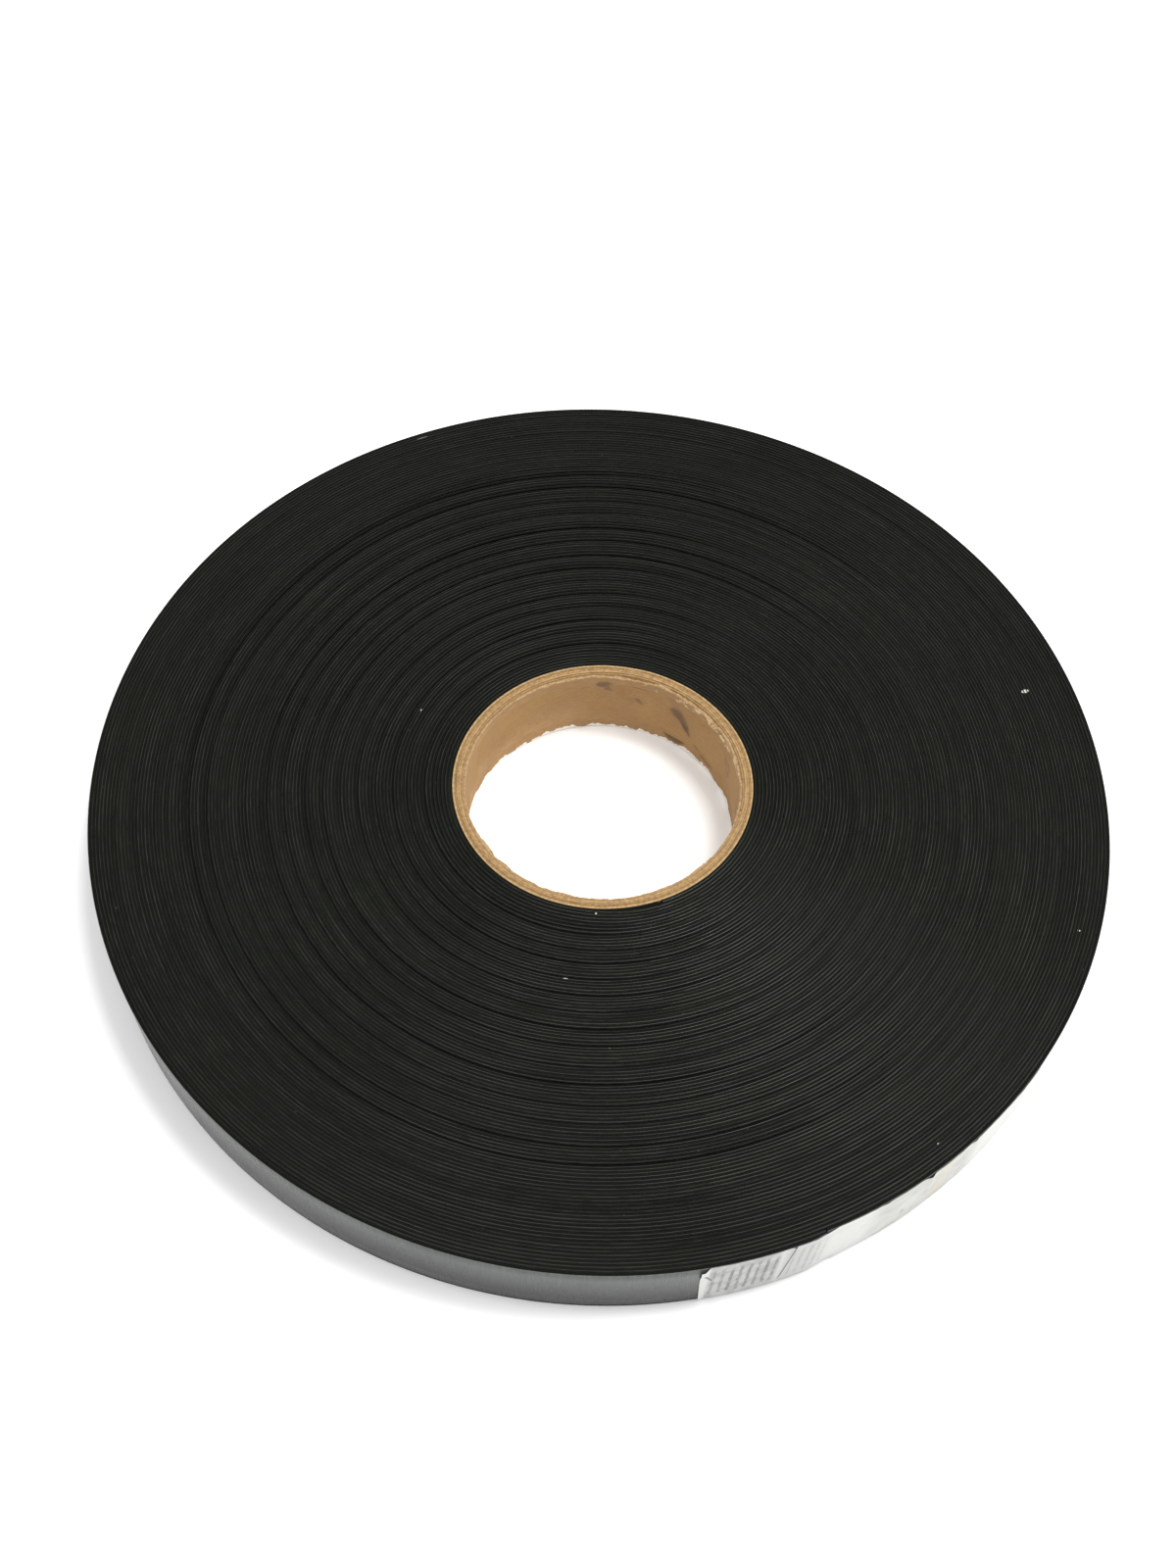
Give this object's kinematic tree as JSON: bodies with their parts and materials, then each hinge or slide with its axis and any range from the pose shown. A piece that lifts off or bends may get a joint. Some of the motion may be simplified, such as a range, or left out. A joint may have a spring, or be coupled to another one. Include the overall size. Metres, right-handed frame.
{
  "type": "roll of adhesive tape",
  "caption": "Large narrow roll of thick black adhesive tape wound with a grey release liner on a paperboard core; the tape's end and the liner's end peel open.",
  "frame": {"origin": "centre of the flat face that the roll lies on, on the roll's axis", "axes": "+Z along the roll's axis, up from the floor; the strip's outer end is at -64.5 degrees from +X, towards -Y, and the strip is wound counter-clockwise seen from +Z"},
  "size_m": [0.2851, 0.2857, 0.0254],
  "materials": {
    "core_inner_board": "smooth kraft board, calendered on the bore side",
    "core_board": "cut edge of brown board, slightly fuzzy",
    "core_outer_board": "kraft board, pale outer paper",
    "wound_tape": "matt black slit edges of many turns, fine concentric lines",
    "tape_strip": "matt black",
    "release_liner": "satin grey",
    "label_paper": "white label paper, semi-matt"
  },
  "bodies": {
    "roll": {"core_inner_ply": "core_inner_board", "core_ply_2": "core_board", "core_ply_3": "core_board", "core_ply_4": "core_board", "core_ply_5": "core_board", "core_outer_ply": "core_outer_board", "tape_winding_01": "wound_tape", "tape_winding_02": "wound_tape", "tape_winding_03": "wound_tape", "tape_winding_04": "wound_tape", "tape_winding_05": "wound_tape", "tape_winding_06": "wound_tape", "tape_winding_07": "wound_tape", "tape_winding_08": "wound_tape", "tape_winding_09": "wound_tape", "tape_winding_10": "wound_tape", "tape_winding_11": "wound_tape", "tape_winding_12": "wound_tape", "outer_turn_tape": "tape_strip", "outer_turn_liner": "release_liner"},
    "tail_1": {"tail_tape_1": "tape_strip", "tail_liner_1": "release_liner"},
    "tail_2": {"tail_tape_2": "tape_strip", "tail_liner_2": "release_liner"},
    "tail_3": {"tail_tape_3": "tape_strip", "tail_liner_3": "release_liner"},
    "tail_4": {"tail_tape_4": "tape_strip", "tail_liner_4": "release_liner"},
    "liner_end": {"liner_end_flap": "release_liner", "paper_label": "label_paper"}
  },
  "joints": [
    {"name": "tail_peel_1", "type": "hinge", "parent": "roll", "child": "tail_1", "pos_m": [-0.04063, -0.13717, 0.0127], "axis": [0, 0, -1], "range_deg": [0, 18]},
    {"name": "tail_peel_2", "type": "hinge", "parent": "tail_1", "child": "tail_2", "pos_m": [-0.02607, -0.14069, 0.0127], "axis": [0, 0, -1], "range_deg": [0, 18]},
    {"name": "tail_peel_3", "type": "hinge", "parent": "tail_2", "child": "tail_3", "pos_m": [-0.01123, -0.14266, 0.0127], "axis": [0, 0, -1], "range_deg": [0, 18]},
    {"name": "tail_peel_4", "type": "hinge", "parent": "tail_3", "child": "tail_4", "pos_m": [0.00375, -0.14306, 0.0127], "axis": [0, 0, -1], "range_deg": [0, 18]},
    {"name": "liner_peel", "type": "hinge", "parent": "tail_4", "child": "liner_end", "pos_m": [0.01868, -0.14191, 0.0127], "axis": [0, 0, -1], "range_deg": [0, 80]}
  ],
  "couplings": [
    {"joint": "tail_peel_2", "follows": "tail_peel_1", "ratio": 1},
    {"joint": "tail_peel_3", "follows": "tail_peel_1", "ratio": 1},
    {"joint": "tail_peel_4", "follows": "tail_peel_1", "ratio": 1}
  ]
}
